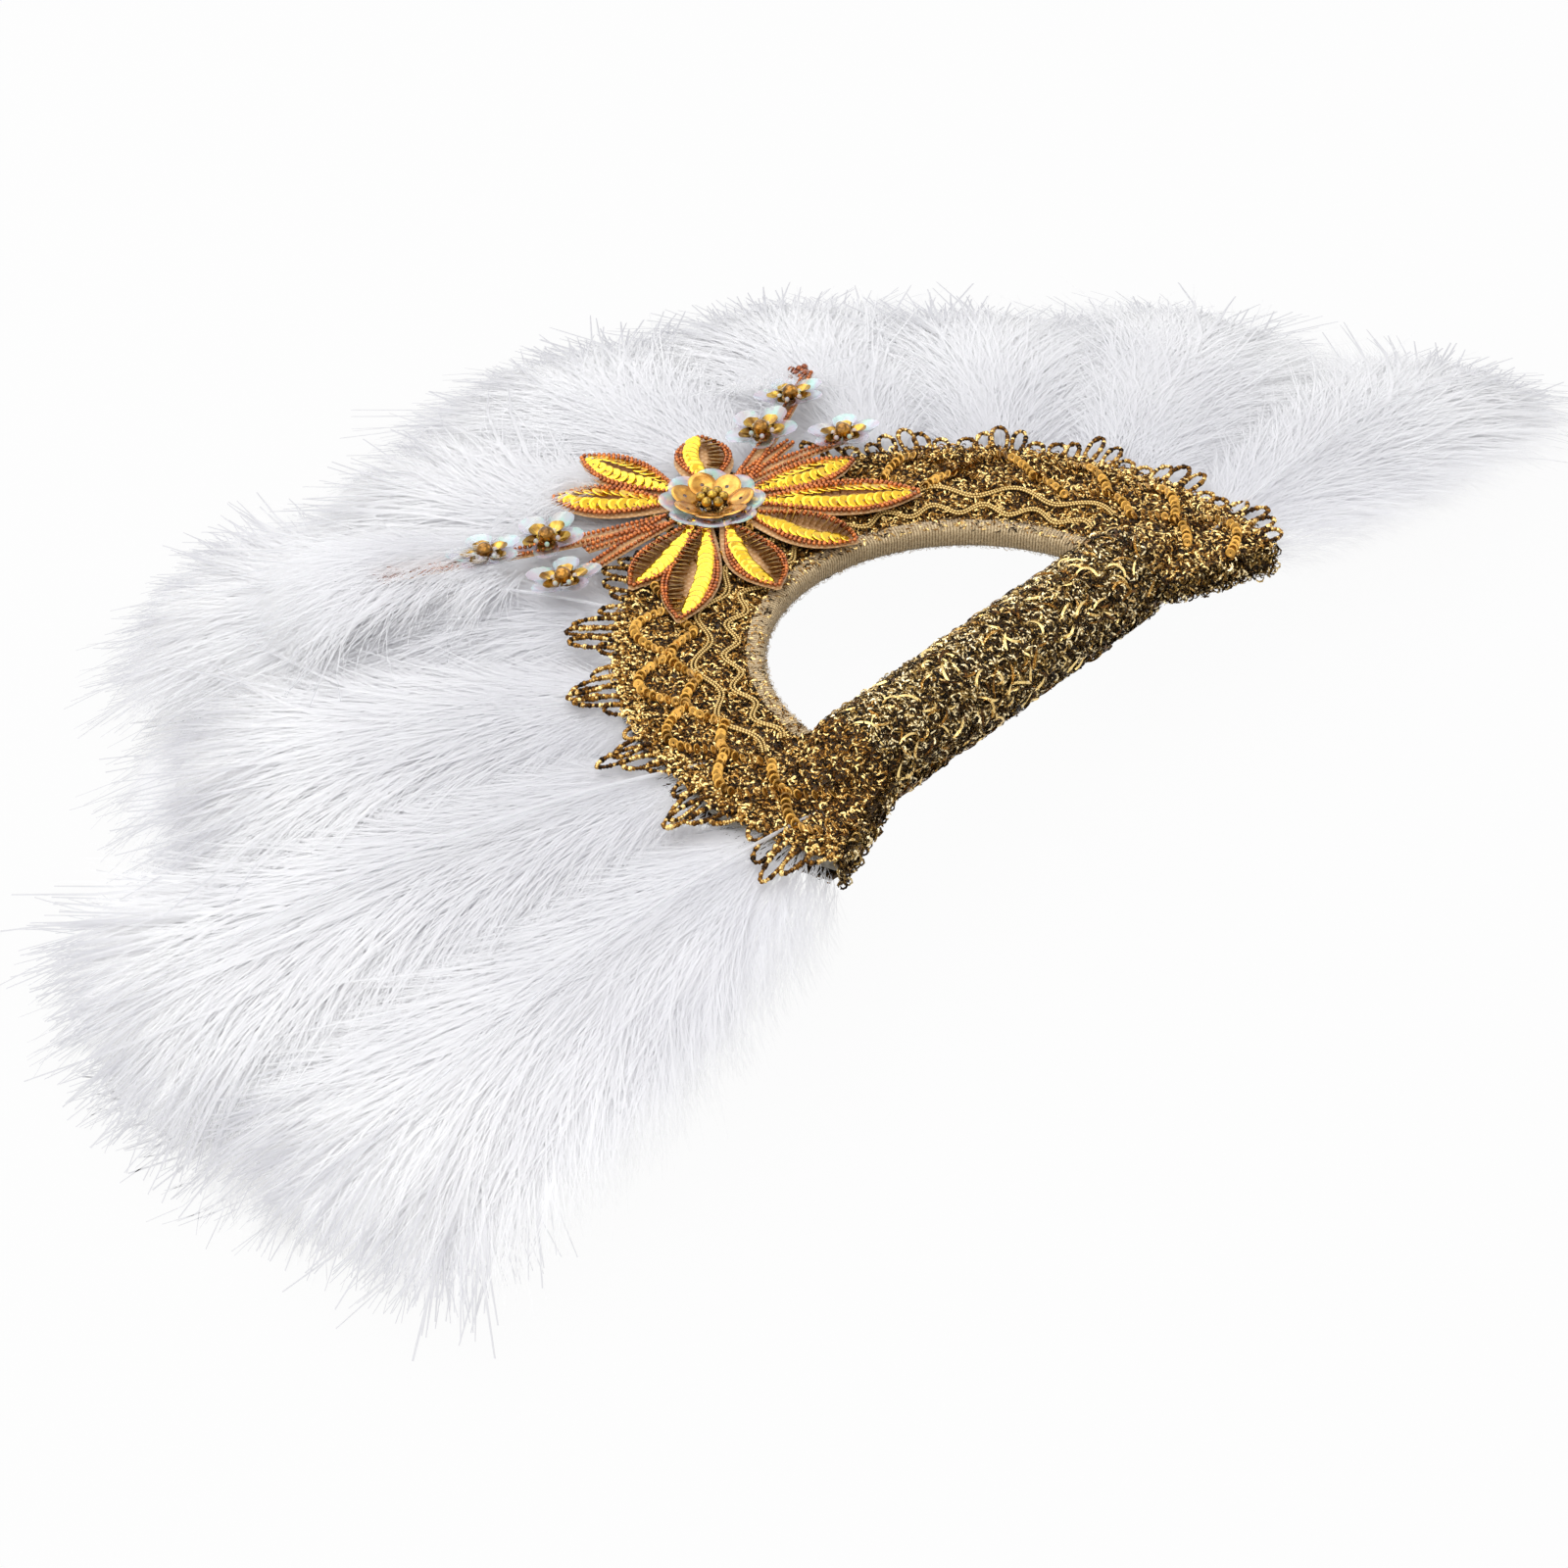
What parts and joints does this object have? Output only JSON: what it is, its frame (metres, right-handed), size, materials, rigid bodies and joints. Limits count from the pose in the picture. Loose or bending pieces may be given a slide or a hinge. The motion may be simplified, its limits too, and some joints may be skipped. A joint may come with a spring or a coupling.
{
  "type": "feather hand fan",
  "caption": "Half-round hand fan of drooping white plumes on a stiff lace-covered ring, with a padded cross handle below a hand opening and a beaded flower spray.",
  "frame": {"origin": "on the table under the middle of the fan's box, with the fan lying on the tips of its plumes", "axes": "X runs along the handle, Y points from the handle to the top of the fan, Z points out of its decorated front"},
  "size_m": [0.5208, 0.2934, 0.0521],
  "materials": {
    "board_card": "matte",
    "handle_foam": "matte",
    "gold_lace": "satin",
    "binding_weave": "matte",
    "gold_soutache": "satin",
    "gold_sequin": "gloss",
    "tan_organza": "satin",
    "copper_bead": "gloss",
    "pearl_sequin": "gloss",
    "amber_disc": "gloss",
    "white_feather": "matte"
  },
  "bodies": {
    "root": {"core_board": "board_card", "handle_pad_front": "handle_foam", "handle_pad_back": "handle_foam", "handle_wrap": "gold_lace", "front_cover": "gold_lace", "back_cover": "gold_lace", "opening_binding": "binding_weave", "picot_edging": "gold_lace", "inner_wave_cord": "gold_soutache", "outer_wave_cord": "gold_soutache", "sequin_chain": "gold_sequin", "organza_base": "tan_organza", "flower_petal_01": "gold_sequin", "flower_petal_02": "gold_sequin", "flower_petal_03": "gold_sequin", "flower_petal_04": "gold_sequin", "flower_petal_05": "gold_sequin", "flower_petal_06": "gold_sequin", "flower_petal_07": "gold_sequin", "flower_petal_08": "gold_sequin", "flower_petal_09": "gold_sequin", "flower_cup": "pearl_sequin", "flower_disc_ring": "amber_disc", "flower_bead_cluster": "gold_sequin", "left_bead_stems": "copper_bead", "left_blossom_01_cup": "pearl_sequin", "left_blossom_01_heart": "amber_disc", "left_blossom_02_cup": "pearl_sequin", "left_blossom_02_heart": "amber_disc", "left_blossom_03_cup": "pearl_sequin", "left_blossom_03_heart": "amber_disc", "left_bud": "copper_bead", "right_bead_stems": "copper_bead", "right_blossom_01_cup": "pearl_sequin", "right_blossom_01_heart": "amber_disc", "right_blossom_02_cup": "pearl_sequin", "right_blossom_02_heart": "amber_disc", "right_blossom_03_cup": "pearl_sequin", "right_blossom_03_heart": "amber_disc", "right_bud": "copper_bead", "front_plume_01": "white_feather", "front_plume_02": "white_feather", "front_plume_03": "white_feather", "front_plume_04": "white_feather", "front_plume_05": "white_feather", "front_plume_06": "white_feather", "front_plume_07": "white_feather", "front_plume_08": "white_feather", "front_plume_09": "white_feather", "front_plume_10": "white_feather", "back_plume_01": "white_feather", "back_plume_02": "white_feather", "back_plume_03": "white_feather", "back_plume_04": "white_feather", "back_plume_05": "white_feather", "back_plume_06": "white_feather", "back_plume_07": "white_feather", "back_plume_08": "white_feather", "back_plume_09": "white_feather"}
  },
  "joints": []
}
